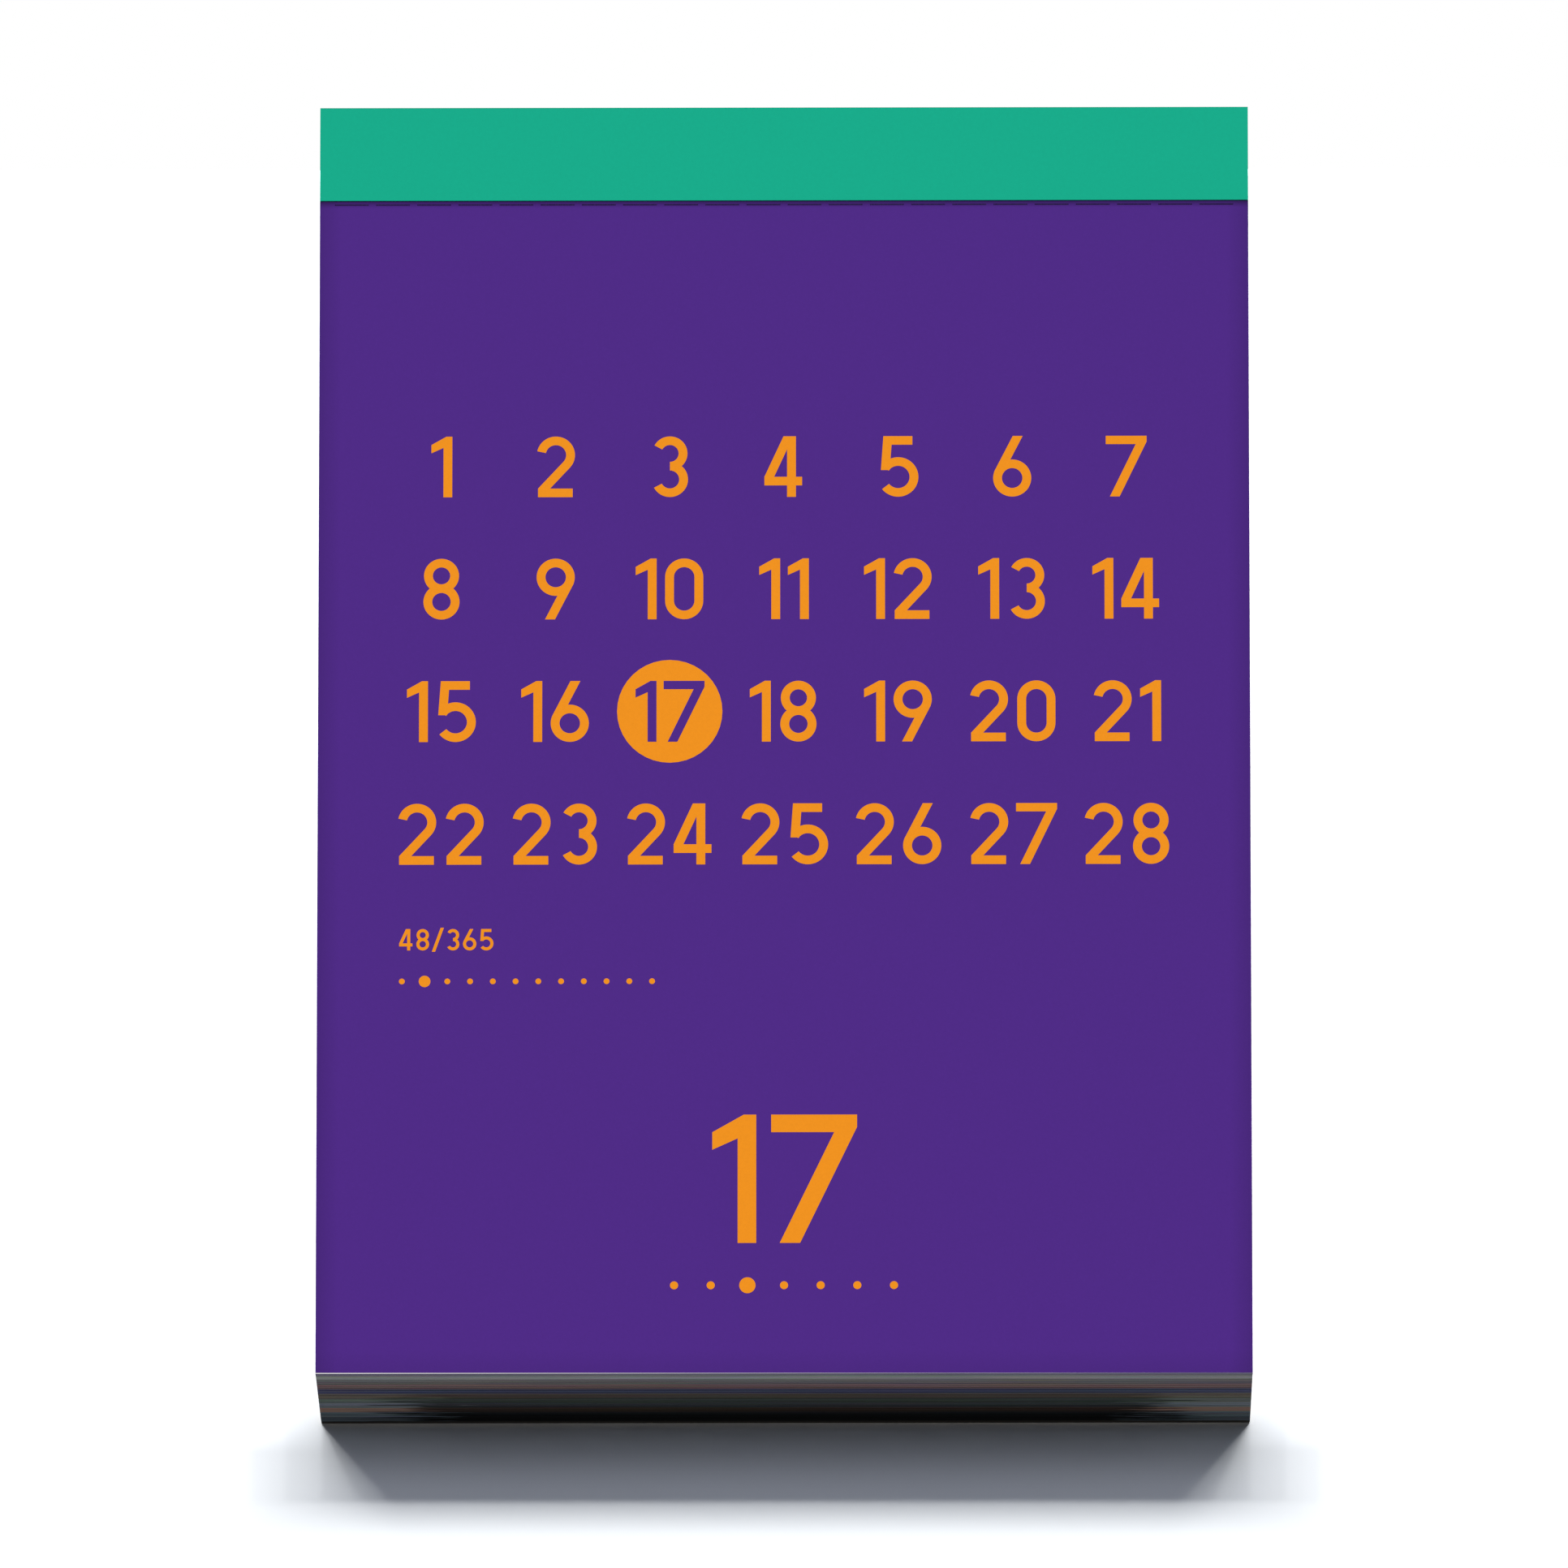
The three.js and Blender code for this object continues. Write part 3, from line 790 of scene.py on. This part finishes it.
def softened_board(node_name, piece_name, material, body):
    """A board piece with its cut edges slightly rounded, as a die or a guillotine leaves them."""
    bm = bmesh.new()
    bm.from_mesh(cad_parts[node_name].data)
    bmesh.ops.remove_doubles(bm, verts=bm.verts[:], dist=BOARD_SEWING_DISTANCE)
    flat = [e for e in bm.edges if len(e.link_faces) == 2 and e.calc_face_angle() < FLAT_ANGLE]
    bmesh.ops.dissolve_edges(bm, edges=flat, use_verts=False)
    rims = [e for e in bm.edges if len(e.link_faces) == 2 and e.calc_face_angle() > RIM_ANGLE]
    bmesh.ops.bevel(
        bm, geom=rims, offset=CUT_EDGE_ROUNDING, offset_type="OFFSET", affect="EDGES", segments=2,
        profile=0.5, material=-1,
    )
    piece = new_piece(piece_name, bm, material, body)
    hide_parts(node_name)


# Studio

# The wall behind the calendar: its tint, and its whiteness as a share of plain white, which
# rises over the height between the two places given
BACKDROP_WHITE = "#F7FBFF"
WALL_REACH = 1.6
WALL_GAP = 0.05 * MM
OPENING_INSET = 0.15 * MM
WALL_WHITE = 1.13
WALL_OVEREXPOSURE = 2.1
WHITE_UP_TO = -3.5 * MM
OVEREXPOSED_FROM = 5 * MM
WALL_BOUNCE = 0.25

# The camera's place round the calendar in metres and degrees, and its lens in millimetres
CAMERA_DISTANCE = 3.2
CAMERA_BELOW = 12.6
CAMERA_RIGHT = 0.35
CAMERA_AIM_HEIGHT = 74 * MM
CAMERA_LENS = 596
CAMERA_SENSOR = 36
CAMERA_CLIP = (0.05, 20)

# The key is a long soft box, made of overlapping round lamps side by side. Narrow lamps along
# its lower rim give the shadow its crisp lower edge.
KEY_AZIMUTHS = (-15, -8, 0, 8, 15)
KEY_WHITE = "#FFFEFB"
KEY = dict(elevation=20.3, level=0.132, width=8.5, colour=KEY_WHITE)
KEY_RIM = dict(elevation=16.9, level=0.045, width=1.5, colour=KEY_WHITE)

# The other lamps. Those at the sides and below shine from a little behind the wall, so they
# leave its front alone.
LAMPS = {
    "fill_light": dict(azimuth=0, elevation=8, level=0.165, width=16, colour="#EBEFFF"),
    "right_light": dict(azimuth=98, elevation=20, level=0.62, width=10, colour=WHITE),
    "left_light": dict(azimuth=-98, elevation=20, level=0.62, width=10, colour=WHITE),
    "foot_light": dict(azimuth=180, elevation=-83, level=0.29, width=10, colour=WHITE),
    "back_light": dict(azimuth=180, elevation=10, level=0.76, width=20, colour=WHITE),
}
SKY_LEVEL = 0.03
SKY_COLOUR = "#E4EDFF"


def from_direction(azimuth, elevation):
    """The direction toward a place round the object, azimuth 0 in front and 90 on the right."""
    turn, rise = math.radians(azimuth), math.radians(elevation)
    return Vector((math.sin(turn) * math.cos(rise), -math.cos(turn) * math.cos(rise), math.sin(rise)))


def aimed(name, data, toward):
    """A lamp or camera that stands in a direction from the object and looks back at it."""
    holder = bpy.data.objects.new(name, data)
    holder.rotation_mode = "QUATERNION"
    holder.rotation_quaternion = toward.to_track_quat("Z", "Y")
    bpy.context.scene.collection.objects.link(holder)
    return holder


def seen_directly(tree):
    """1 for what the camera sees straight, in a reflection or through glass, and 0 for light."""
    path = node(tree, "LightPath")
    glossy = node(tree, "Math", {
        0: path.outputs["Is Camera Ray"], 1: path.outputs["Is Glossy Ray"],
    }, operation="MAXIMUM")
    return node(tree, "Math", {0: glossy, 1: path.outputs["Is Transmission Ray"]}, operation="MAXIMUM")


def backdrop_paint(name):
    """White backdrop: white to the eye, grey to bounced light, and clear from behind.

    Beside the calendar it is overexposed, so only the shadow below the foot shows.
    """
    material, tree = new_material(name)
    height = node(tree, "SeparateXYZ", {0: node(tree, "TexCoord").outputs["Object"]}).outputs["Z"]
    white = node(tree, "MapRange", {
        0: height, 1: WHITE_UP_TO, 2: OVEREXPOSED_FROM, 3: WALL_WHITE, 4: WALL_OVEREXPOSURE,
    })
    shade = node(tree, "Mix", {0: seen_directly(tree), 2: WALL_BOUNCE, 3: white})
    paint = node(tree, "BsdfDiffuse", {0: toned(tree, linear(BACKDROP_WHITE), shade)})
    behind = node(tree, "NewGeometry").outputs["Backfacing"]
    either = node(tree, "MixShader", {0: behind, 1: paint, 2: node(tree, "BsdfTransparent")})
    node(tree, "OutputMaterial", {0: either})
    return material


def backdrop():
    """A wall no higher than the calendar, which rests against it in an opening of its own size.

    The lamps behind it shine through, onto the sides, the foot and the head.
    """
    wall, top = cad_box[1].y + WALL_GAP, cad_box[1].z
    left, right = cad_box[0].x + OPENING_INSET, cad_box[1].x - OPENING_INSET
    low = cad_box[0].z + OPENING_INSET
    outline = [
        (-WALL_REACH, top), (-WALL_REACH, -WALL_REACH), (WALL_REACH, -WALL_REACH), (WALL_REACH, top),
        (right, top), (right, low), (left, low), (left, top),
    ]
    bm = bmesh.new()
    add_plate(bm, [(x, wall, z) for x, z in outline])
    sheet = new_object("backdrop", bm, backdrop_paint("white_backdrop"))
    sheet.visible_shadow = False


def lamp(name, azimuth, elevation, level, width, colour):
    """A distant soft lamp, whose level is its share of the light at which white is white.

    Its place and its width are in degrees.
    """
    light = bpy.data.lights.new(name, "SUN")
    light.energy = level * math.pi
    light.angle = math.radians(width)
    light.color = linear(colour)[:3]
    aimed(name, light, from_direction(azimuth, elevation))


def studio_world():
    """White to the camera, and to the object a faint cool glow from all round."""
    world = bpy.data.worlds.new("studio")
    world.use_nodes = True
    tree = world.node_tree
    tree.nodes.clear()
    glow = node(tree, "Background", {0: linear(SKY_COLOUR), 1: SKY_LEVEL})
    plain = node(tree, "Background", {0: linear(WHITE), 1: 1.0})
    node(tree, "OutputWorld", {0: node(tree, "MixShader", {0: seen_directly(tree), 1: glow, 2: plain})})
    bpy.context.scene.world = world


def camera():
    """A long lens from a little below, so the front stays square and the foot edge shows."""
    lens = bpy.data.cameras.new("camera")
    lens.lens = CAMERA_LENS
    lens.sensor_width = CAMERA_SENSOR
    lens.clip_start, lens.clip_end = CAMERA_CLIP
    toward = from_direction(CAMERA_RIGHT, -CAMERA_BELOW)
    holder = aimed("camera", lens, toward)
    holder.location = Vector((0, cad_box[0].y, CAMERA_AIM_HEIGHT)) + toward * CAMERA_DISTANCE
    bpy.context.scene.camera = holder


# Making it all

def finish_node(name, material):
    """Gives a CAD node its finish."""
    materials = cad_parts[name].data.materials
    materials.clear()
    materials.append(material)


bpy.context.scene.view_settings.view_transform = "Standard"
camera()
studio_world()
for azimuth in KEY_AZIMUTHS:
    lamp(f"key_light_{azimuth}", azimuth, **KEY)
    lamp(f"key_rim_{azimuth}", azimuth, **KEY_RIM)
for lamp_name, lamp_settings in LAMPS.items():
    lamp(lamp_name, **lamp_settings)
backdrop()

leaf_paper = day_leaf_paper("uncoated_paper_printed_full_bleed")
for leaf_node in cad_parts:
    if leaf_node.startswith("leaf_"):
        finish_node(leaf_node, leaf_paper)
finish_node("head_band", band_paper("dyed_cover_paper"))
finish_node("head_glue", padding_glue("dried_padding_glue"))
wire = zinc_coated_wire("zinc_coated_steel_wire")
finish_node("staple_left", wire)
finish_node("staple_right", wire)

draw = random.Random(SHEET_SEED)
for month, (days, tint) in LATER_MONTHS.items():
    month_block(month, days, leaf_edges(f"guillotined_{month}_leaf_edges", tint), draw)

board = recycled_greyboard("recycled_greyboard")
softened_board("back_board", "greyboard_back", board, "block")
softened_board("easel_strut", "greyboard_strut", board, "easel")

orange_ink = offset_ink("orange_offset_ink", ORANGE_INK)
purple_ink = offset_ink("purple_offset_ink", PURPLE_INK)
print_leaf(FRONT_DAY, "today_leaf", orange_ink, purple_ink)
print_leaf(FRONT_DAY + 1, "next_leaf", orange_ink, purple_ink)
print_leaf(FRONT_DAY + 2, "block", orange_ink, purple_ink)
